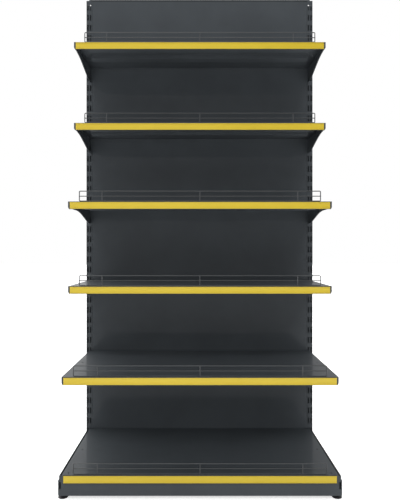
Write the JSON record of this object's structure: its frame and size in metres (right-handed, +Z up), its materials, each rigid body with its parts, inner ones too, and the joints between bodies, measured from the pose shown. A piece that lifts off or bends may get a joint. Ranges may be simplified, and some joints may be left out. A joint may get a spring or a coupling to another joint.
{
  "type": "retail shelving unit",
  "caption": "Free-standing steel shop shelving bay: slotted uprights, back panels, lift-off shelves on hook-in brackets with price strips and wire fences, base and levelling feet.",
  "frame": {"origin": "on the floor, in the middle of the bay's outline", "axes": "+Z up, -Y towards the front, +X to the right as seen from the front"},
  "size_m": [1.135, 0.575, 2.2295],
  "materials": {
    "anthracite_paint": "semi-gloss powder coat",
    "yellow_strip": "smooth plastic",
    "fence_wire": "semi-gloss powder coat",
    "black_plastic": "moulded",
    "zinc_steel": "bright zinc plate"
  },
  "bodies": {
    "frame": {"upright_left": "anthracite_paint", "upright_right": "anthracite_paint", "back_panel_1": "anthracite_paint", "back_panel_2": "anthracite_paint", "back_panel_3": "anthracite_paint", "back_panel_4": "anthracite_paint", "back_panel_5": "anthracite_paint", "back_panel_6": "anthracite_paint", "top_rail": "anthracite_paint", "tie_rail_lower": "anthracite_paint", "tie_rail_upper": "anthracite_paint", "base_leg_left": "anthracite_paint", "base_leg_right": "anthracite_paint", "rail_bolts": "zinc_steel", "rail_nuts": "zinc_steel", "foot_nuts": "zinc_steel", "shelf_1_bracket_left": "anthracite_paint", "shelf_1_bracket_right": "anthracite_paint", "shelf_2_bracket_left": "anthracite_paint", "shelf_2_bracket_right": "anthracite_paint", "shelf_3_bracket_left": "anthracite_paint", "shelf_3_bracket_right": "anthracite_paint", "shelf_4_bracket_left": "anthracite_paint", "shelf_4_bracket_right": "anthracite_paint", "shelf_5_bracket_left": "anthracite_paint", "shelf_5_bracket_right": "anthracite_paint"},
    "shelf_1": {"shelf_1_deck": "anthracite_paint", "shelf_1_stiffener": "anthracite_paint", "shelf_1_price_strip": "yellow_strip"},
    "shelf_1_fence": {"shelf_1_fence": "fence_wire"},
    "shelf_2": {"shelf_2_deck": "anthracite_paint", "shelf_2_stiffener": "anthracite_paint", "shelf_2_price_strip": "yellow_strip"},
    "shelf_2_fence": {"shelf_2_fence": "fence_wire"},
    "shelf_3": {"shelf_3_deck": "anthracite_paint", "shelf_3_stiffener": "anthracite_paint", "shelf_3_price_strip": "yellow_strip"},
    "shelf_3_fence": {"shelf_3_fence": "fence_wire"},
    "shelf_4": {"shelf_4_deck": "anthracite_paint", "shelf_4_stiffener": "anthracite_paint", "shelf_4_price_strip": "yellow_strip"},
    "shelf_4_fence": {"shelf_4_fence": "fence_wire"},
    "shelf_5": {"shelf_5_deck": "anthracite_paint", "shelf_5_stiffener": "anthracite_paint", "shelf_5_price_strip": "yellow_strip"},
    "shelf_5_fence": {"shelf_5_fence": "fence_wire"},
    "base_shelf": {"base_deck": "anthracite_paint", "base_stiffener": "anthracite_paint", "base_price_strip": "yellow_strip"},
    "base_fence": {"base_fence": "fence_wire"},
    "foot_pad_front_left": {"foot_pad_front_left": "black_plastic"},
    "foot_stem_front_left": {"foot_stem_front_left": "zinc_steel"},
    "foot_pad_front_right": {"foot_pad_front_right": "black_plastic"},
    "foot_stem_front_right": {"foot_stem_front_right": "zinc_steel"},
    "foot_pad_rear_left": {"foot_pad_rear_left": "black_plastic"},
    "foot_stem_rear_left": {"foot_stem_rear_left": "zinc_steel"},
    "foot_pad_rear_right": {"foot_pad_rear_right": "black_plastic"},
    "foot_stem_rear_right": {"foot_stem_rear_right": "zinc_steel"},
    "kick_plate": {"kick_plate": "anthracite_paint"}
  },
  "joints": [
    {"name": "shelf_1_lift_off", "type": "slide", "parent": "frame", "child": "shelf_1", "axis": [0, 0, 1], "range_m": [0, 0.12]},
    {"name": "shelf_1_fence_lift_out", "type": "slide", "parent": "shelf_1", "child": "shelf_1_fence", "axis": [0, 0, 1], "range_m": [0, 0.05]},
    {"name": "shelf_2_lift_off", "type": "slide", "parent": "frame", "child": "shelf_2", "axis": [0, 0, 1], "range_m": [0, 0.12]},
    {"name": "shelf_2_fence_lift_out", "type": "slide", "parent": "shelf_2", "child": "shelf_2_fence", "axis": [0, 0, 1], "range_m": [0, 0.05]},
    {"name": "shelf_3_lift_off", "type": "slide", "parent": "frame", "child": "shelf_3", "axis": [0, 0, 1], "range_m": [0, 0.12]},
    {"name": "shelf_3_fence_lift_out", "type": "slide", "parent": "shelf_3", "child": "shelf_3_fence", "axis": [0, 0, 1], "range_m": [0, 0.05]},
    {"name": "shelf_4_lift_off", "type": "slide", "parent": "frame", "child": "shelf_4", "axis": [0, 0, 1], "range_m": [0, 0.12]},
    {"name": "shelf_4_fence_lift_out", "type": "slide", "parent": "shelf_4", "child": "shelf_4_fence", "axis": [0, 0, 1], "range_m": [0, 0.05]},
    {"name": "shelf_5_lift_off", "type": "slide", "parent": "frame", "child": "shelf_5", "axis": [0, 0, 1], "range_m": [0, 0.12]},
    {"name": "shelf_5_fence_lift_out", "type": "slide", "parent": "shelf_5", "child": "shelf_5_fence", "axis": [0, 0, 1], "range_m": [0, 0.05]},
    {"name": "base_lift_off", "type": "slide", "parent": "frame", "child": "base_shelf", "axis": [0, 0, 1], "range_m": [0, 0.12]},
    {"name": "base_fence_lift_out", "type": "slide", "parent": "base_shelf", "child": "base_fence", "axis": [0, 0, 1], "range_m": [0, 0.05]},
    {"name": "foot_front_left_height", "type": "slide", "parent": "frame", "child": "foot_pad_front_left", "axis": [0, 0, 1], "range_m": [-0.02, 0]},
    {"name": "foot_front_left_turn", "type": "hinge", "parent": "foot_pad_front_left", "child": "foot_stem_front_left", "pos_m": [-0.5475, -0.2475, 0.03], "axis": [0, 0, 1], "range_deg": [-4800, 0]},
    {"name": "foot_front_right_height", "type": "slide", "parent": "frame", "child": "foot_pad_front_right", "axis": [0, 0, 1], "range_m": [-0.02, 0]},
    {"name": "foot_front_right_turn", "type": "hinge", "parent": "foot_pad_front_right", "child": "foot_stem_front_right", "pos_m": [0.5475, -0.2475, 0.03], "axis": [0, 0, 1], "range_deg": [-4800, 0]},
    {"name": "foot_rear_left_height", "type": "slide", "parent": "frame", "child": "foot_pad_rear_left", "axis": [0, 0, 1], "range_m": [-0.02, 0]},
    {"name": "foot_rear_left_turn", "type": "hinge", "parent": "foot_pad_rear_left", "child": "foot_stem_rear_left", "pos_m": [-0.5475, 0.26, 0.03], "axis": [0, 0, 1], "range_deg": [-4800, 0]},
    {"name": "foot_rear_right_height", "type": "slide", "parent": "frame", "child": "foot_pad_rear_right", "axis": [0, 0, 1], "range_m": [-0.02, 0]},
    {"name": "foot_rear_right_turn", "type": "hinge", "parent": "foot_pad_rear_right", "child": "foot_stem_rear_right", "pos_m": [0.5475, 0.26, 0.03], "axis": [0, 0, 1], "range_deg": [-4800, 0]},
    {"name": "kick_plate_pull", "type": "slide", "parent": "frame", "child": "kick_plate", "axis": [0, -1, 0], "range_m": [0, 0.06]}
  ],
  "couplings": [
    {"joint": "foot_front_left_turn", "follows": "foot_front_left_height", "rad_per_m": 4188.8},
    {"joint": "foot_front_right_turn", "follows": "foot_front_right_height", "rad_per_m": 4188.8},
    {"joint": "foot_rear_left_turn", "follows": "foot_rear_left_height", "rad_per_m": 4188.8},
    {"joint": "foot_rear_right_turn", "follows": "foot_rear_right_height", "rad_per_m": 4188.8}
  ]
}
